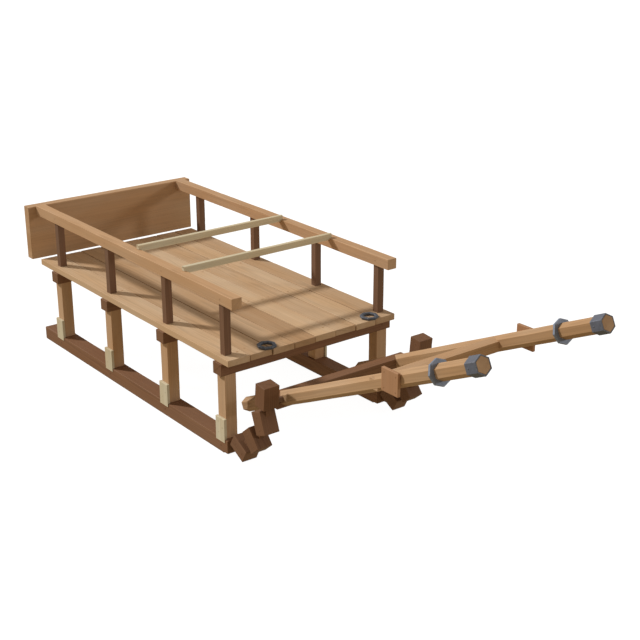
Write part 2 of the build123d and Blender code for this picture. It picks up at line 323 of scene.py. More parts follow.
def wood(name, tone, ring_gap=0.0055, figure=0.16, weather=0.12, rubbed=0.15, roughness=0.68,
         mixed=0.03):
    """Solid wood. tone is its mean colour, ring_gap the width of one year's growth in metres, figure the
    strength of the rings, weather that of the slow stains, rubbed how much paler the arrises are, and
    mixed how far a timber may lie from the mean, either way: a dark one is browner, a light one paler."""
    finish = Finish(name, IOR=1.45)
    finish.surface.inputs["Specular IOR Level"].default_value = 0.25
    log = finish.attribute("grain", 1)
    worn = finish.attribute("worn", 2)
    ends = finish.attribute("ends", 2)
    tree = finish.attribute("tone", 2)
    _, across, through = finish.parts(log)

    wander = finish.noise(finish.stretched(log, WANDER), detail=2.0)
    radius = (across * across + through * through) ** 0.5 + (wander - 0.5) * WANDER_REACH
    year = (radius / ring_gap).fraction()
    late = year.above(0.25, 0.85) * (1 - year.above(0.9, 1.0))
    strength = finish.noise(finish.stretched(log, RING_STRENGTH), detail=1.0).above(0.3, 0.75)
    fibre = finish.noise(finish.stretched(log, FIBRE), detail=3.0, roughness=0.6)
    streak = finish.noise(finish.stretched(log, STREAK), detail=3.0, roughness=0.55)
    stain = finish.noise(finish.stretched(log, STAIN), detail=3.0)

    shade = 1 - figure * late * (0.45 + 0.55 * strength) + 0.35 * figure
    shade = shade * (1 + (fibre - 0.5) * 0.22) * (1 + (streak - 0.5) * 0.26)
    shade = shade * (1 + (stain - 0.5) * 2 * weather)
    shade = shade * (1 - ends * 0.1) * (1 + worn * stain.above(0.35, 0.6) * rubbed)
    warm, cool = ((*np.multiply(tone, factors), 1) for factors in (WARM, COOL))
    colour = finish.mix(stain.above(0.3, 0.7), warm, cool)
    brown = (*(1 - mixed * part for part in BROWNER), 1)
    pale = (*(1 + mixed * part for part in PALER), 1)
    colour = finish.stretched(colour, finish.mix(tree.above(-1, 1), brown, pale))

    height = (fibre - 0.5) * FIBRE_HEIGHT - late * LATE_WOOD_DEPTH + (streak - 0.5) * STREAK_HEIGHT
    dullness = roughness + (fibre - 0.5) * 0.16 - worn * 0.08 + late * 0.04
    return finish.feed(
        Base_Color=finish.scaled(colour, shade), Roughness=dullness, Normal=finish.bump(height))


STAINED = {"figure": 0.22, "rubbed": 0.04, "roughness": 0.62}
light_wood = wood("light_wood", (0.470, 0.290, 0.158))
shaft_wood = wood("shaft_wood", (0.405, 0.250, 0.132))
deck_wood = wood("deck_wood", (0.475, 0.315, 0.180), ring_gap=0.006, weather=0.14, rubbed=0.04, mixed=0.17)
dark_wood = wood("dark_wood", (0.203, 0.100, 0.050), **STAINED)
stake_wood = wood("stake_wood", (0.176, 0.096, 0.056), **STAINED)
nose_wood = wood("nose_wood", (0.172, 0.084, 0.042), figure=0.22, rubbed=0.1, roughness=0.64)
brown_wood = wood("brown_wood", (0.385, 0.205, 0.103), figure=0.18, roughness=0.62)
pale_wood = wood("pale_wood", (0.560, 0.482, 0.328), ring_gap=0.004, figure=0.12)
woods = (light_wood, shaft_wood, deck_wood, dark_wood, stake_wood, nose_wood, brown_wood, pale_wood)
print("woods:", ", ".join(material.name for material in woods))

# %% [markdown]
# ## Iron
# The rings, caps and shoes came off an anvil. Their faces carry the shallow dents of the hammer and a
# blue-grey skin of scale, rubbed brighter on the arrises. Iron under scale reflects like a dull
# ceramic and not like a mirror, so mostly the rubbed places are metallic. The rings on the shafts are
# blued, a skin so thin that half of the mirror under it shows.


# %% The iron finish
SCALE_GRAIN = (110.0,) * 3  # features in each metre
CLOUDS = (24.0,) * 3
DENTS = 60.0
DENT_DEPTH = 0.0011
SCALE_HEIGHT = 0.00014
RUBBED_METAL = 0.53  # where the scale is rubbed off


def forged_iron(name, tone, bright, bare=0.08):
    """Forged iron. Hammer dents are the distance to scattered points, smoothed and kept shallow. bare is
    how much of its mirror shows through the scale where nothing rubs it."""
    finish = Finish(name)
    finish.surface.inputs["Specular IOR Level"].default_value = 0.3
    place = finish.node("ShaderNodeTexCoord", output=3)
    worn = finish.attribute("worn", 2)
    scale = finish.noise(finish.stretched(place, SCALE_GRAIN), detail=4.0, roughness=0.55)
    cloud = finish.noise(finish.stretched(place, CLOUDS), detail=2.0)
    settings = {"feature": "SMOOTH_F1"}
    inputs = {"Vector": place, "Scale": DENTS, "Smoothness": 0.8}
    dent = finish.node("ShaderNodeTexVoronoi", settings, inputs)
    rub = worn * scale.above(0.42, 0.62)
    shade = (1 + (cloud - 0.5) * 0.3) * (1 + (scale - 0.5) * 0.22)
    colour = finish.mix(rub * 0.5, finish.scaled(tone, shade), (*bright, 1))
    return finish.feed(
        Base_Color=colour,
        Metallic=bare + rub * (RUBBED_METAL - bare),
        Roughness=0.64 + (scale - 0.5) * 0.2 - rub * 0.1,
        Normal=finish.bump(dent * DENT_DEPTH + (scale - 0.5) * SCALE_HEIGHT),
    )


iron = forged_iron("iron", (0.112, 0.121, 0.153), (0.27, 0.28, 0.31))
blued_iron = forged_iron("blued_iron", (0.208, 0.240, 0.305), (0.28, 0.30, 0.35), bare=0.5)
black_iron = forged_iron("black_iron", (0.075, 0.085, 0.108), (0.19, 0.20, 0.23))
rusty_iron = forged_iron("rusty_iron", (0.200, 0.112, 0.066), (0.26, 0.17, 0.12))
print("iron is ready")

# %% [markdown]
# ## A timber as a surface
# A timber is an outline carried along a straight line, so every point on it is a function of two
# parameters: how far along the line, and how far round the outline. Two things keep it from looking
# like a ruler drew it. The radius of each arris changes slowly along the timber and jumps where
# something has knocked a piece out of it, and the faces dip by a fraction of a millimetre as a plane
# leaves them. Both only take wood away, so the timber never leaves the space that the frame gives it.
#
# The rounded outline is written so that the corner radii can change from station to station without
# working the outline out again: each point is a fixed point plus its corner's radius times a fixed
# direction.

# %% The rounded outline
ARC_STEPS = 4
RUB_WIDTH = 0.007  # how far wear reaches from an arris


def rounded_outline(corners):
    """An outline, given by its corners anticlockwise, with room for a radius at each corner.

    The point at angle a on corner i's arc is corner + radius * (unit normal at a - mitre), where mitre is
    the sum of the two edges' normals over 1 plus their dot product. A point on the flat after corner i
    shares the same form between corners i and i + 1. A corner that turns inwards takes a negative radius,
    which is why its bend is -1. Returns a dictionary of arrays, one row a point.
    """
    corners = np.asarray(corners, float)
    count = len(corners)
    edges = np.roll(corners, -1, axis=0) - corners
    lengths = np.linalg.norm(edges, axis=1)
    normals = np.column_stack((edges[:, 1], -edges[:, 0])) / lengths[:, None]
    before = np.roll(normals, 1, axis=0)
    mitre = (before + normals) / (1 + (before * normals).sum(1))[:, None]

    turn = np.arctan2(np.cross(before, normals), (before * normals).sum(1))
    angle = np.arctan2(before[:, 1], before[:, 0])[:, None] + turn[:, None] * np.linspace(0, 1, ARC_STEPS + 1)
    arc_normal = np.stack((np.cos(angle), np.sin(angle)), axis=2)
    arc_sharp = np.broadcast_to(corners[:, None], arc_normal.shape)
    arc_pull = arc_normal - mitre[:, None]

    share = np.minimum(RUB_WIDTH / lengths, 0.3)
    share = np.column_stack((share, np.full(count, 0.5), 1 - share))[:, :, None]
    next_corner = np.roll(corners, -1, axis=0)
    flat_normal = np.broadcast_to(normals[:, None], (count, 3, 2))
    flat_sharp = corners[:, None] * (1 - share) + next_corner[:, None] * share
    flat_pull = (1 - share) * (normals - mitre)[:, None]
    flat_pull_next = share * (normals - np.roll(mitre, -1, axis=0))[:, None]

    def woven(arc, flat):
        return np.concatenate((arc, flat), axis=1).reshape(-1, *arc.shape[2:])

    zero = np.zeros_like(arc_pull)
    own = np.broadcast_to(np.arange(count)[:, None], (count, ARC_STEPS + 1))
    return {
        "sharp": woven(arc_sharp, flat_sharp),
        "pull": woven(arc_pull, flat_pull),
        "pull_next": woven(zero, flat_pull_next),
        "normal": woven(arc_normal, flat_normal),
        "corner": woven(own, own[:, :3]),
        "on_arc": woven(np.ones(own.shape), np.zeros((count, 3))),
        "corners": count,
        "bend": np.where(turn > 0, 1.0, -0.5),
    }


def rectangle(width, height):
    """Corners of a rectangle round the origin, anticlockwise."""
    return np.array(((-1, -1), (1, -1), (1, 1), (-1, 1))) * (width / 2, height / 2)


def polygon(radius, count, start=0.0):
    """Corners of a regular polygon, anticlockwise from the start angle in degrees."""
    angle = np.radians(start) + np.arange(count) * 2 * np.pi / count
    return radius * np.column_stack((np.cos(angle), np.sin(angle)))


print("a square outline has", len(rounded_outline(rectangle(1, 1))["sharp"]), "points")

# %% [markdown]
# A `Surface` is what each shape function returns: points, faces and the four attributes. Surfaces
# are joined into one mesh when they are one piece, such as the four blocks of a nose.


# %% Surfaces and pieces
class Surface:
    """Points in metres, faces as rows of point numbers, and the attributes that the finishes read."""

    def __init__(self, points, faces, grain, worn, ends, tone=0.0):
        self.points = points.reshape(-1, 3)
        self.faces = faces
        self.grain = grain.reshape(-1, 3)
        self.worn = worn.ravel()
        self.ends = ends.ravel()
        self.tone = np.full(len(self.points), tone)

    def placed(self, middle, along, across):
        """The surface with its x along one direction, its y along another, and its origin at middle."""
        axes = np.array((along, across, np.cross(along, across)))
        self.points = np.asarray(middle, float) + self.points @ axes
        return self


def grid_faces(rows, columns, rows_close=False):
    """Quads of a grid whose columns close on themselves, and whose rows may."""
    row, column = np.meshgrid(np.arange(rows if rows_close else rows - 1), np.arange(columns), indexing="ij")
    after = (row + 1) % rows
    beside = (column + 1) % columns
    quads = np.stack((row * columns + column, row * columns + beside,
                      after * columns + beside, after * columns + column), axis=2)
    return quads.reshape(-1, 4).tolist()


def piece(name, surfaces, finish, body, slot, *nodes):
    """Joins surfaces into one mesh, gives it its finish and attributes, and lets it ride on its body."""
    starts = np.cumsum([0] + [len(surface.points) for surface in surfaces])
    faces = []
    for start, surface in zip(starts, surfaces):
        faces += [[int(start) + number for number in face] for face in surface.faces]
    mesh = bpy.data.meshes.new(name)
    mesh.from_pydata(np.concatenate([surface.points for surface in surfaces]), [], faces)
    mesh.shade_smooth()
    for kind in ("grain", "worn", "ends", "tone"):
        form, field = ("FLOAT_VECTOR", "vector") if kind == "grain" else ("FLOAT", "value")
        values = np.concatenate([getattr(surface, kind) for surface in surfaces]).astype(np.float32)
        mesh.attributes.new(kind, form, "POINT").data.foreach_set(field, values.ravel())
    mesh.materials.append(finish)
    made = bpy.data.objects.new(name, mesh)
    bpy.context.scene.collection.objects.link(made)
    flats = made.modifiers.new("flat_faces_stay_flat", "WEIGHTED_NORMAL")
    flats.weight = 100
    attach(made, body)
    if nodes:
        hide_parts(*nodes)
    return made


# %% [markdown]
# The timber itself. `seed` is a name, so each timber keeps its own dents and its own place in the log
# however many others are made before it.

# %% A straight timber
STATION_GAP = 0.06      # between stations where nothing happens
NICK_LENGTH = 0.011     # half length of a dent along an arris
ARRIS_WAVES = 5.1, 13.7  # radians in each metre
ARRIS_SWAY = 0.2  # of the easing, for each wave
PLANE_WAVE = 17.0
LOG_REACH = 1.7  # how far off the log's middle may lie, in half widths


def timber(corners, length, seed, easing=0.0025, nicks=2.0, pith=None, cuts=(), reshape=None,
           log=(0, 1, 2), hollow=0.00025, tone=None):
    """An outline carried along x from -length/2 to length/2, with eased arrises and ends.

    The radius at each corner is the easing, times two slow waves, plus a bell curve at each nick. Towards
    an end the outline shrinks by easing * (1 - sin a) while x runs easing * (1 - cos a) in from the end.
    nicks is their number in each metre. pith is the middle of the log, across the timber. cuts are extra
    stations, and reshape may move the points sideways as a function of x, y and z. log names the axes
    that lie along and across the log, and hollow is the mean depth of the plane's dips.
    """
    draw = np.random.default_rng(crc32(seed.encode()))
    outline = rounded_outline(corners)
    half = length / 2
    quarter = np.linspace(0, np.pi / 2, 4)
    end_x = half - easing * (1 - np.cos(quarter))
    count = draw.poisson(nicks * length)
    nick_x = draw.uniform(-half * 0.97, half * 0.97, count)
    nick_depth = draw.uniform(0.3, 1.3, count) * easing
    nick_corner = draw.integers(0, outline["corners"], count)
    inner = half - easing - RUB_WIDTH
    stations = np.concatenate((
        np.linspace(-inner, inner, max(int(length / STATION_GAP), 2) + 1),
        (nick_x[:, None] + np.linspace(-1.6, 1.6, 5) * NICK_LENGTH).ravel(),
        np.asarray(cuts, float),
    ))
    stations = np.unique(np.round(stations[abs(stations) <= inner], 4))
    x = np.concatenate((-end_x, stations, end_x[::-1]))
    inset = np.concatenate((easing * (1 - np.sin(quarter)), np.zeros(len(stations)),
                            easing * (1 - np.sin(quarter[::-1]))))

    phase = draw.uniform(0, 2 * np.pi, (3, outline["corners"]))
    slow, quick = ARRIS_WAVES
    wave = np.sin(x[:, None] * slow + phase[0]) + np.sin(x[:, None] * quick + phase[1])
    bells = np.exp(-((x[:, None] - nick_x) / NICK_LENGTH) ** 2) * nick_depth
    knocks = bells @ (nick_corner[:, None] == np.arange(outline["corners"]))
    radius = (easing * (1 + ARRIS_SWAY * wave) + knocks) * outline["bend"]
    here = outline["corner"]
    after = (here + 1) % outline["corners"]
    dip = hollow * (1 + np.sin(x[:, None] * PLANE_WAVE + phase[2][here]))
    section = (
        outline["sharp"]
        + radius[:, here, None] * outline["pull"]
        + radius[:, after, None] * outline["pull_next"]
        - (inset[:, None] + dip)[:, :, None] * outline["normal"]
    )
    y = section[:, :, 0]
    z = section[:, :, 1]
    x = np.broadcast_to(x[:, None], y.shape)
    if reshape is not None:
        y, z = reshape(x, y, z)
    points = np.stack((x, y, z), axis=2)
    if pith is None:
        pith = draw.uniform(-1, 1, 2) * np.abs(corners).max(0) * LOG_REACH
    place_in_log = np.array((draw.uniform(0, 20), *pith))
    on_end = np.broadcast_to((inset > 0)[:, None], y.shape)
    worn = np.maximum(outline["on_arc"], on_end)
    rows, columns = y.shape
    last = rows * columns
    faces = grid_faces(rows, columns) + [list(range(columns))[::-1], list(range(last - columns, last))]
    by_chance = draw.uniform(-1, 1)
    return Surface(points, faces, points[..., log] + place_in_log, worn, on_end.astype(float),
                   tone=by_chance if tone is None else tone)


ALONG, ACROSS, UPRIGHT = range(3)
AXES = AHEAD, LEFT, UP = np.eye(3)
SIDES = {"right": -1, "left": 1}


def box_timber(node, along, finish, body, slot, kind="timber", seam=0.0, trim=0.0, **options):
    """A timber that fills a frame node's box and takes its place, its log lying along axis 0, 1 or 2.

    seam is taken off the first axis after the log's and trim off the length, half from each side.
    """
    low, high = np.array(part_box(node))
    size = high - low
    width, height = size[(along + 1) % 3] - seam, size[(along + 2) % 3]
    surface = timber(rectangle(width, height), size[along] - trim, node, **options)
    surface.placed((low + high) / 2, AXES[along], AXES[(along + 1) % 3])
    return piece(f"{node}_{kind}", [surface], finish, body, slot, node)


def box_face(node, axis, sign):
    """Where a node's box ends on an axis, low for a sign of -1 and high for 1."""
    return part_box(node)[sign > 0][axis]


def box_middle(node):
    """The middle of a node's box."""
    return np.mean(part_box(node), axis=0)


print("timber helpers are ready")

# %% [markdown]
# ## Runners, posts and crossbeams
# The dark frame: two runners, eight posts in pairs, and a beam across each pair. The posts are the
# light wood of the deck's family and the rest is stained dark. A stake stands over each post, and a rail
# lies on each row of stakes.

# %% The side frames
PAIRS = range(1, 5)
for side in SIDES:
    box_timber(f"runner_{side}", ALONG, dark_wood, "sled", "dark_wood", easing=0.0022, nicks=5)
    for number in PAIRS:
        post, stake = f"post_{number}_{side}", f"stake_{number}_{side}"
        box_timber(post, UPRIGHT, light_wood, "sled", "light_wood", easing=0.002)
        box_timber(stake, UPRIGHT, stake_wood, "sled", "dark_wood", easing=0.0016, nicks=3)
    box_timber(f"rail_{side}", ALONG, light_wood, "sled", "light_wood", easing=0.0022, nicks=4)

for number in PAIRS:
    box_timber(f"crossbeam_{number}", ACROSS, dark_wood, "sled", "dark_wood", easing=0.0022)
print("2 runners, 8 posts, 8 stakes, 2 rails and 4 crossbeams")

# %% [markdown]
# ## Deck and tailboard
# The deck's planks are sawn flat from wide logs, so the middle of the log lies some way under each
# plank and the rings run out through its top as long flames.

# %% The deck and the tailboard
PLANK_TONES = (0.5, -0.15, -0.25, -0.95, 0.6, 0.0, 0.4, -0.25)
PLANK_SEAM = 0.003
SWAY_STEP = 0.008  # sideways moves of the log's middle
LOG_DEPTH, DEPTH_STEP = 0.075, 0.01
for number, tone in enumerate(PLANK_TONES, start=1):
    sway = (number * 37 % 11 - 5) * SWAY_STEP
    depth = LOG_DEPTH + DEPTH_STEP * (number % 4)
    box_timber(f"deck_plank_{number}", ALONG, deck_wood, "sled", "deck_wood", seam=PLANK_SEAM,
               easing=0.002, nicks=3.5, tone=tone, pith=(sway, depth))

box_timber("tailboard", ACROSS, light_wood, "sled", "light_wood", easing=0.003, nicks=5,
           pith=(0.04, -0.11))
print(len(PLANK_TONES), "planks and a tailboard")

# %% [markdown]
# ## Slats
# Two thin peeled laths lie across the rails and are notched over them, so they can't slide sideways.
# A notch is the same outline at a smaller height, which begins at a sharp step: two stations less than
# a millimetre apart, and a squeeze towards the top for every point beyond them.

# %% The slats
NOTCH_STEP = 0.0003  # half the distance between the two stations
SLATS = ("rail_slat_rear", "rail_slat_front")
rail_low, rail_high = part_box("rail_left")


def notched(height, kept, start):
    """A reshape for a timber whose y is upright: beyond the start, y shrinks towards the top edge."""
    def squeeze(x, y, z):
        return np.where(abs(x) > start, height / 2 - (height / 2 - y) * kept, y), z
    return squeeze


for slat in SLATS:
    low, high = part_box(slat)
    width, length, height = high - low
    kept = (high.z - rail_high.z) / height
    steps = [side * (rail_low.y + step) for side in (-1, 1) for step in (-NOTCH_STEP, NOTCH_STEP)]
    surface = timber(rectangle(height, width), length, slat, easing=0.002, nicks=4, cuts=steps,
                     reshape=notched(height, kept, rail_low.y), pith=(0.004, 0.006))
    surface.placed((low + high) / 2, LEFT, UP)
    piece(f"{slat}_lath", [surface], pale_wood, "sled", "pale_wood", slat)
print("the slats keep", round(kept, 2), "of their height over the rails")

# %% [markdown]
# ## Foot cleats
# A pale board is pinned to the outside of each post's foot and hangs a little way over the runner's
# side, which ties the two together. Its section is an L, so it is carried along the sled, and the log
# that it was split from stands upright.

# %% The foot cleats
for side, sign in SIDES.items():
    node, runner = f"foot_cleats_{side}", f"runner_{side}"
    low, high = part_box(node)
    runner_top = box_face(runner, UPRIGHT, 1)
    rise, lap, thick = high.z - runner_top, runner_top - low.z, high.y - low.y
    lip = sign * (box_face(node, ACROSS, sign) - box_face(runner, ACROSS, sign))
    length = 2 * (high.x - box_middle(f"post_4_{side}")[ALONG])
    outline = [(0, 0), (thick - lip, 0), (thick - lip, -lap), (thick, -lap), (thick, rise), (0, rise)]
    if sign < 0:
        outline = [(-across, up) for across, up in outline[::-1]]
    cleats = []
    for number in PAIRS:
        surface = timber(outline, length, f"cleat_{number}_{side}", easing=0.0013, nicks=8, log=(2, 0, 1))
        post_x = box_middle(f"post_{number}_{side}")[ALONG]
        middle = (post_x, box_face(node, ACROSS, -sign), runner_top)
        cleats.append(surface.placed(middle, AHEAD, LEFT))
    piece(f"{node}_boards", cleats, pale_wood, "sled", "pale_wood", node)
print("cleats", round(length, 3), "m long with a lip of", round(lip * 1000, 1), "mm")

# %% [markdown]
# ## Upturned noses
# Each runner turns up at the front so that it rides over drifts. The bent part is a core of squared
# timber that climbs in four straight stretches, and a block is mortised over each of its corners. The
# core is one timber made straight and then laid along its line: a point's place along the timber picks
# its place on the line, and its height is measured along the mitre there, which keeps the core's
# thickness even round each corner.

# %% The line of the nose
CORE_WIDTH = 0.036
CORE_DEPTH = 0.050      # its thickness, seen from the side
LEVEL_START = 0.032     # the core's level stretch ahead of the runner
BLOCK_LENGTH, BLOCK_HEIGHT = 0.085, 0.134
# One row a block, from the runner upwards: degrees of climb to its middle, clear gap before it in
# metres, and degrees that its top leans forwards.
NOSE_BLOCKS = [(26.6, 0.009, -61.6), (38.6, 0.018, -39.7), (58.8, 0.020, -20.1), (83.1, 0.028, 5.5)]

runner_low, runner_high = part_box("runner_left")
nose_start = np.array((runner_high.x, (runner_low.z + runner_high.z) / 2))
climb, gap, lean = np.array(NOSE_BLOCKS).T
climb, lean = np.radians(climb), np.radians(lean)
reach = gap + BLOCK_HEIGHT * np.array((0.5, 1, 1, 1))
strides = reach[:, None] * np.column_stack((np.cos(climb), np.sin(climb)))
block_middles = nose_start + (LEVEL_START, 0) + np.cumsum(strides, axis=0)
nose_line = np.vstack((nose_start, nose_start + (LEVEL_START, 0), block_middles))
print("nose blocks stand at", block_middles.round(3).tolist())


def along_line(surface, line, y):
    """Lays a straight timber along a bent line in the plane of x and z.

    The mitre at a corner is the sum of the two normals over 1 plus their dot product. Place and mitre are
    both interpolated along the line, and the point is place + height * mitre, with its width along y.
    """
    stride = np.diff(line, axis=0)
    length = np.linalg.norm(stride, axis=1)
    normal = np.column_stack((-stride[:, 1], stride[:, 0])) / length[:, None]
    before = np.vstack((normal[:1], normal))
    after = np.vstack((normal, normal[-1:]))
    mitre = (before + after) / (1 + (before * after).sum(1))[:, None]
    travelled = np.concatenate(((0,), np.cumsum(length)))
    ahead = surface.points[:, 0] + travelled[-1] / 2
    x, z = (
        np.interp(ahead, travelled, line[:, axis])
        + surface.points[:, 2] * np.interp(ahead, travelled, mitre[:, axis])
        for axis in (0, 1)
    )
    surface.points = np.column_stack((x, y + surface.points[:, 1], z))
    return surface


# %% The noses
nose_length = np.linalg.norm(np.diff(nose_line, axis=0), axis=1)
corner_cuts = np.cumsum(nose_length)[:-1] - nose_length.sum() / 2
for side in SIDES:
    bend, stack = f"nose_bend_{side}", f"nose_blocks_{side}"
    y = box_middle(bend)[ACROSS]
    core = timber(rectangle(CORE_WIDTH, CORE_DEPTH), nose_length.sum(), f"core_{side}", easing=0.003,
                  nicks=4, cuts=corner_cuts)
    along_line(core, nose_line, y)
    piece(f"{bend}_core", [core], nose_wood, "sled", "dark_wood", bend)

    low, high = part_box(stack)
    blocks = []
    for number, ((x, z), angle) in enumerate(zip(block_middles, lean), start=1):
        surface = timber(rectangle(high.y - low.y, BLOCK_LENGTH), BLOCK_HEIGHT, f"block_{number}_{side}",
                         easing=0.0028, nicks=12)
        up = (np.sin(angle), 0, np.cos(angle))
        blocks.append(surface.placed((x, y, z), up, LEFT))
    piece(f"{stack}_timber", blocks, nose_wood, "sled", "dark_wood", stack)
print("a nose core is", round(nose_length.sum(), 3), "m along its line")

# %% [markdown]
# ## Shafts
# The horse stands between two hexagonal shafts. Each is shaved from one young tree, so the middle of
# the log runs down its axis and the rings on its end are whole circles. Their direction comes from the
# frame's record, and their length and size from the box round them.

# %% The shafts and what is let into them
HEXAGON = np.cos(np.pi / 6)  # distance to a flat over distance to a corner
mounts = {mount["name"]: mount for mount in frame["record"]["mounts"]}
shaft_along = np.array(mounts["shaft_tip_right"]["axis"])
shaft_along /= np.linalg.norm(shaft_along)


def prism(node):
    """Distance from axis to flat, and length, of a hexagonal node that lies along the shafts.

    Its box is 2 * flat wide, and length * cos + 2 * corner * sin long.
    """
    low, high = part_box(node)
    flat = (high.y - low.y) / 2
    return flat, (high.x - low.x - 2 * flat / HEXAGON * shaft_along[2]) / shaft_along[0]


shaft_flat, shaft_length = prism("shaft_right")
shaft_radius = shaft_flat / HEXAGON
for side in SIDES:
    shaft = f"shaft_{side}"
    surface = timber(polygon(shaft_radius, 6, start=90), shaft_length, shaft,
                     easing=0.003, nicks=4, pith=(0.004, -0.003))
    surface.placed(box_middle(shaft), shaft_along, LEFT)
    piece(f"{shaft}_pole", [surface], shaft_wood, "shafts", "light_wood", shaft)
    box_timber(f"shaft_plate_{side}", UPRIGHT, brown_wood, "shafts", "brown_wood", kind="board",
               easing=0.003, nicks=8)

box_timber("hinge_bar", ACROSS, dark_wood, "shafts", "dark_wood", easing=0.004, nicks=4)
# The crossbar's ends are cut back just inside the shafts' outer flats.
box_timber("shaft_crossbar", ACROSS, light_wood, "shafts", "light_wood", trim=0.003,
           easing=0.003, nicks=4)
print("shafts", round(shaft_length, 3), "m long and", round(shaft_radius * 2, 4), "m from corner to corner")

# %% [markdown]
# ## Irons
# The rings and the caps on the shafts' tips are alike in one way: a small section carried round a
# polygon and closed on itself. The polygon's flats are what a smith's hammer leaves, because bar is
# bent round the anvil's horn in short flats and not drawn on a compass. The section sets how far each
# point lies from the ring's middle and how far along its axis, and the outline rounds the corners.


# %% Rings and sleeves
BAR_SWELL = 0.0003  # mean depth of the hammer's waves


def hoop(length, inside, outside, easing, sides, corner_radius, seed, start=0):
    """Flat bar carried round a regular polygon whose axis is x, and closed both ways.

    inside and outside are the distances from the axis to the flats. A point is flat distance * outline of
    a unit polygon + corner radius * pull, and its distance from the axis swells and shrinks a little on
    the way round, as bar does under a hammer.
    """
    draw = np.random.default_rng(crc32(seed.encode()))
    half = length / 2
    line = rounded_outline([(-half, inside), (half, inside), (half, outside), (-half, outside)])
    along, away = (line["sharp"] + easing * (line["pull"] + line["pull_next"]))[::-1].T
    unit = rounded_outline(polygon(1 / np.cos(np.pi / sides), sides, start))
    loop = away[:, None, None] * unit["sharp"] + corner_radius * (unit["pull"] + unit["pull_next"])
    columns = len(unit["sharp"])
    turn = np.arange(columns) / columns * 2 * np.pi
    wave = sum(np.sin(turn * order + draw.uniform(0, 6)) for order in (3, 5, 8)) / 3
    y, z = np.moveaxis(loop * (1 - BAR_SWELL * (1 + wave)[:, None] / away[:, None, None]), 2, 0)
    points = np.stack((np.broadcast_to(along[:, None], y.shape), y, z), axis=2)
    worn = np.maximum(unit["on_arc"], line["on_arc"][::-1, None])
    return Surface(points, grid_faces(len(line["sharp"]), columns, rows_close=True), points, worn, 0 * y)


# %% The irons of the shafts
CAP_WALL = 0.0062
RING_SIDES = 8
RING_LENGTH = 0.014
RING_BITE = 0.003       # how far the ring's inside lies under the shaft's flats
RING_SHIFT = 0.0045     # towards the tip, from the middle of the frame's ring
cap_flat, cap_length = prism("shaft_cap_right")
low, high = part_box("shaft_ring_right")
ring_flat = (high.y - low.y) / 2 * np.cos(np.pi / RING_SIDES)
ring_inside = shaft_flat - RING_BITE
for side in SIDES:
    cap = f"shaft_cap_{side}"
    surface = hoop(cap_length, cap_flat - CAP_WALL, cap_flat, easing=0.0014, sides=6,
                   corner_radius=0.003, seed=cap, start=90)
    surface.placed(box_middle(cap), shaft_along, LEFT)
    piece(f"{cap}_sleeve", [surface], iron, "shafts", "iron", cap)
    ring = f"shaft_ring_{side}"
    surface = hoop(RING_LENGTH, ring_inside, ring_flat, easing=0.0022, sides=RING_SIDES,
                   corner_radius=0.003, seed=ring)
    surface.placed(box_middle(ring) + RING_SHIFT * shaft_along, shaft_along, LEFT)
    piece(f"{ring}_forged", [surface], blued_iron, "shafts", "iron", ring)
print("caps", round(cap_length, 4), "m long, rings", round(ring_flat - ring_inside, 4), "m thick")

# %% The lashing rings, the shoes and the pins
for side in SIDES:
    ring = f"lashing_ring_{side}"
    low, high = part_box(ring)
    bore = mounts[ring]["dims"]["r_mm"] / 1000
    outside = (high.x - low.x) / 2 * np.cos(np.pi / RING_SIDES)
    surface = hoop(high.z - low.z, bore, outside, easing=0.0055, sides=RING_SIDES,
                   corner_radius=0.004, seed=ring)
    surface.placed(box_middle(ring), UP, AHEAD)
    piece(f"{ring}_forged", [surface], black_iron, "sled", "iron", ring)

    box_timber(f"runner_shoe_{side}", ALONG, rusty_iron, "sled", "iron", kind="bar",
               easing=0.0012, nicks=3, hollow=0.0)

    pin = frame["nodes"][f"hinge_pin_{side}"]
    pin.data.materials.clear()
    pin.data.materials.append(rusty_iron)
print("lashing rings", round(outside - bore, 4), "m thick")

# %% [markdown]
# ## Pegs, pins and rivets
# Crossings of timber are pegged, and thin boards are held by smaller pins of their own wood. Only the
# caps are riveted. A head is a low dome, and all the heads of a piece are one array: the place of each,
# the direction that its face looks in, and one profile for all. Their sizes and heights differ a little,
# because they were made and driven by hand.


# %% Heads on faces
HEAD_SINK = 0.002  # how far a head's side reaches under the face
# Distance from the axis and height over the face, as shares of a head's radius and rise.
HEAD_PROFILE = np.array(((1, 0.35), (0.93, 0.7), (0.75, 0.92), (0.4, 1)))


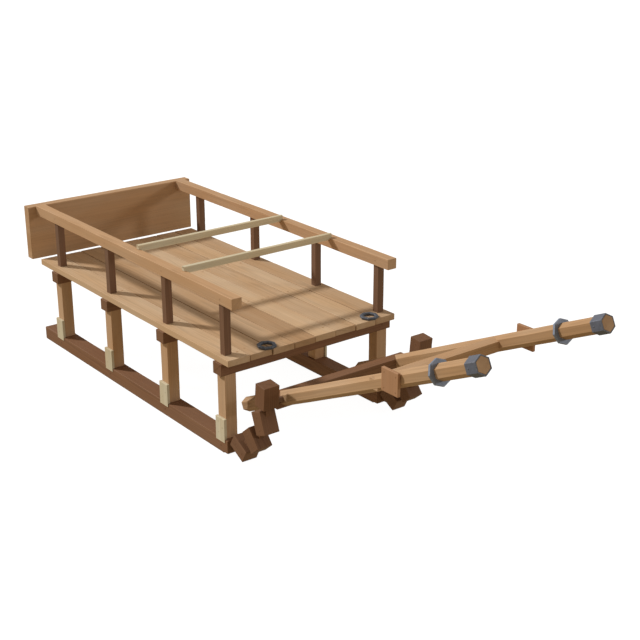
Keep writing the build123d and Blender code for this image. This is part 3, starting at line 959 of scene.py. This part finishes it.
def heads(places, facing, shape, seed):
    """Low domes at the given places, all looking along facing. shape is radius, rise and sides.

    The profile runs up the side from under the face, round the edge and over the top. A point is
    place + height * facing + distance * (cos * first + sin * second).
    """
    radius, rise, sides = shape
    draw = np.random.default_rng(crc32(seed.encode()))
    places = np.asarray(places, float)
    count = len(places)
    first = np.cross(facing, AXES[np.argmin(abs(facing))])
    first /= np.linalg.norm(first)
    second = np.cross(facing, first)

    def chance(low, high):
        return draw.uniform(low, high, (count, 1, 1))

    profile = np.vstack(((1, -HEAD_SINK), HEAD_PROFILE * (1, rise)))
    distance, height = profile[:, :1], profile[:, 1:]
    spread = 1 + chance(-0.08, 0.08)
    height = np.where(height > 0, height * (1 + chance(-0.3, 0)), height)
    angle = np.arange(sides) / sides * 2 * np.pi + chance(0, 6)
    wobble = 1 + 0.03 * np.sin(angle * 2 + chance(0, 6))
    away = radius * spread * wobble * distance
    across, through = away * np.cos(angle), away * np.sin(angle)
    height = np.broadcast_to(height, across.shape)
    spot = np.stack((height, across, through), axis=3)
    points = places[:, None, None] + spot @ np.array((facing, first, second))
    rows, size = len(profile), len(profile) * sides
    ends = [list(range(sides))[::-1], list(range(size - sides, size))]
    start = (np.arange(count) * size)[:, None, None]
    faces = (np.array(grid_faces(rows, sides)) + start).reshape(-1, 4).tolist()
    faces += (np.array(ends) + start).reshape(-1, sides).tolist()
    grain = np.stack((height + chance(0, 9), across, through), axis=3)
    worn = np.broadcast_to((distance > 0.8).astype(float), across.shape)
    return Surface(points, faces, grain, worn, np.ones(across.shape))


# %% [markdown]
# Where they go: two pegs in each plank over each beam, one through each tenon of post and stake, two
# through each nose block but the top one, and pins in cleats, plates, slats and the tailboard.

# %% The pegs of the sled
FACINGS = (-1, 1)
# Radius, rise and number of sides.
PLANK_PEG = (0.0068, 0.0007, 10)
FRAME_PEG = (0.0065, 0.0008, 10)
SMALL_PEG = (0.0055, 0.0008, 10)
PLANK_PEG_STEP = 0.044      # from the plank's middle, sideways
PLANK_PEG_SKEW = 0.25       # of that step, forwards
RUNNER_PEG_RISE = 0.034     # from the runner's underside
NOSE_PEG_STEP = 0.036       # from the block's middle, up and down it

pegs = []
dark_pegs = []
beam_x = [box_middle(f"crossbeam_{number}")[ALONG] for number in PAIRS]
beam_z = box_middle("crossbeam_1")[UPRIGHT]
for number in range(1, len(PLANK_TONES) + 1):
    plank = f"deck_plank_{number}"
    y, z = box_middle(plank)[ACROSS], box_face(plank, UPRIGHT, 1)
    spots = [(x + step * PLANK_PEG_SKEW, y + step, z)
             for x in beam_x for step in (-PLANK_PEG_STEP, PLANK_PEG_STEP)]
    pegs.append(heads(spots, UP, PLANK_PEG, f"plank_{number}"))
for side in SIDES:
    rail, runner = f"rail_{side}", f"runner_{side}"
    _, rail_y, rail_z = box_middle(rail)
    runner_z = box_face(runner, UPRIGHT, -1) + RUNNER_PEG_RISE
    for facing in FACINGS:
        spots = [(x, box_face(rail, ACROSS, facing), rail_z) for x in beam_x]
        pegs.append(heads(spots, facing * LEFT, SMALL_PEG, f"rail_{side}_{facing}"))
        spots = [(x, box_face(runner, ACROSS, facing), runner_z) for x in beam_x]
        dark_pegs.append(heads(spots, facing * LEFT, FRAME_PEG, f"runner_{side}_{facing}"))
        spots = [(box_face(f"crossbeam_{number}", ALONG, facing), rail_y, beam_z) for number in PAIRS]
        dark_pegs.append(heads(spots, facing * AHEAD, FRAME_PEG, f"beam_{side}_{facing}"))
piece("deck_and_rail_pegs", pegs, light_wood, "sled", "light_wood")
piece("runner_and_beam_pegs", dark_pegs, dark_wood, "sled", "dark_wood")

nose_pegs = []
peg_step = NOSE_PEG_STEP * np.column_stack((np.sin(lean), np.cos(lean)))
# The hinge pin's bore takes the place of the top block's lower peg.
spots = np.concatenate(((block_middles - peg_step)[:-1], block_middles + peg_step))
for side in SIDES:
    for facing in FACINGS:
        places = np.insert(spots, 1, box_face(f"nose_blocks_{side}", ACROSS, facing), axis=1)
        nose_pegs.append(heads(places, facing * LEFT, SMALL_PEG, f"nose_{side}_{facing}"))
piece("nose_pegs", nose_pegs, dark_wood, "sled", "dark_wood")
print("pegs in", len(pegs + dark_pegs + nose_pegs), "rows")

# %% The pins of the thin boards
CLEAT_PIN = (0.0042, 0.0007, 8)
TAIL_PIN = (0.006, 0.0007, 8)
SLAT_PIN = (0.0036, 0.0002, 8)
PLATE_PIN = (0.0046, 0.0008, 8)
CAP_RIVET = (0.0045, 0.0014, 10)
# Their spots, across and up, from a cleat's foot, a rail's underside and a plate's middle.
CLEAT_SPOTS = ((-0.018, 0.118), (0.02, 0.088), (-0.016, 0.052))
TAIL_SPOTS = ((-0.013, 0.014), (0.012, 0.037))
PLATE_SPOTS = ((-0.042, -0.04), (-0.042, 0.04), (0.042, -0.04), (0.042, 0.04))
SLAT_PIN_STEP = 0.013       # from the rail's middle, inwards
TAIL_PIN_SINK = 0.0008      # where the plane's dips have left the tailboard's face
CAP_RIVET_STEP = 0.25       # of the cap's length, behind its middle

pale_pins, tail_pins, plate_pins, cap_rivets = [], [], [], []
for side, sign in SIDES.items():
    outwards = sign * LEFT
    cleats = f"foot_cleats_{side}"
    outer, foot = box_face(cleats, ACROSS, sign), box_face(cleats, UPRIGHT, -1)
    spots = [(x + across, outer, foot + up) for x in beam_x for across, up in CLEAT_SPOTS]
    pale_pins.append(heads(spots, outwards, CLEAT_PIN, f"cleat_{side}"))

    rail_y, rail_foot = box_middle(f"rail_{side}")[ACROSS], box_face(f"rail_{side}", UPRIGHT, -1)
    tail_x = box_face("tailboard", ALONG, -1) + TAIL_PIN_SINK
    spots = [(tail_x, rail_y + across, rail_foot + up) for across, up in TAIL_SPOTS]
    tail_pins.append(heads(spots, -AHEAD, TAIL_PIN, f"tail_{side}"))
    spots = [(box_middle(slat)[ALONG], rail_y - sign * SLAT_PIN_STEP, box_face(slat, UPRIGHT, 1))
             for slat in SLATS]
    pale_pins.append(heads(spots, UP, SLAT_PIN, f"slat_{side}"))

    plate = f"shaft_plate_{side}"
    outer = box_face(plate, ACROSS, sign)
    plate_x, _, plate_z = box_middle(plate)
    spots = [(plate_x + across, outer, plate_z + up) for across, up in PLATE_SPOTS]
    plate_pins.append(heads(spots, outwards, PLATE_PIN, f"plate_{side}"))

    cap = f"shaft_cap_{side}"
    for facing in FACINGS:
        spot = box_middle(cap) - shaft_along * cap_length * CAP_RIVET_STEP
        spot[ACROSS] = box_face(cap, ACROSS, facing)
        cap_rivets.append(heads([spot], facing * LEFT, CAP_RIVET, f"cap_{side}_{facing}"))
piece("cleat_and_slat_pins", pale_pins, pale_wood, "sled", "pale_wood")
piece("tailboard_pins", tail_pins, light_wood, "sled", "light_wood")
piece("shaft_plate_pins", plate_pins, brown_wood, "shafts", "brown_wood")
piece("shaft_cap_rivets", cap_rivets, iron, "shafts", "iron")
print("pins in the cleats, tailboard, slats and plates, and rivets in the caps")

# %% [markdown]
# ## Sizes
# The finished pieces have to fill the same space as the frame's. The script prints how far the sled's sides
# lie inside the frame's box on each side.

# %% How far the sled lies inside the frame's box
visual_low, visual_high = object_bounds()
shrunk = np.array((visual_low - cad_low, cad_high - visual_high)) * 1000
print("the sled's sides lie inside the frame's box by, in millimetres,", shrunk.round(2).tolist())
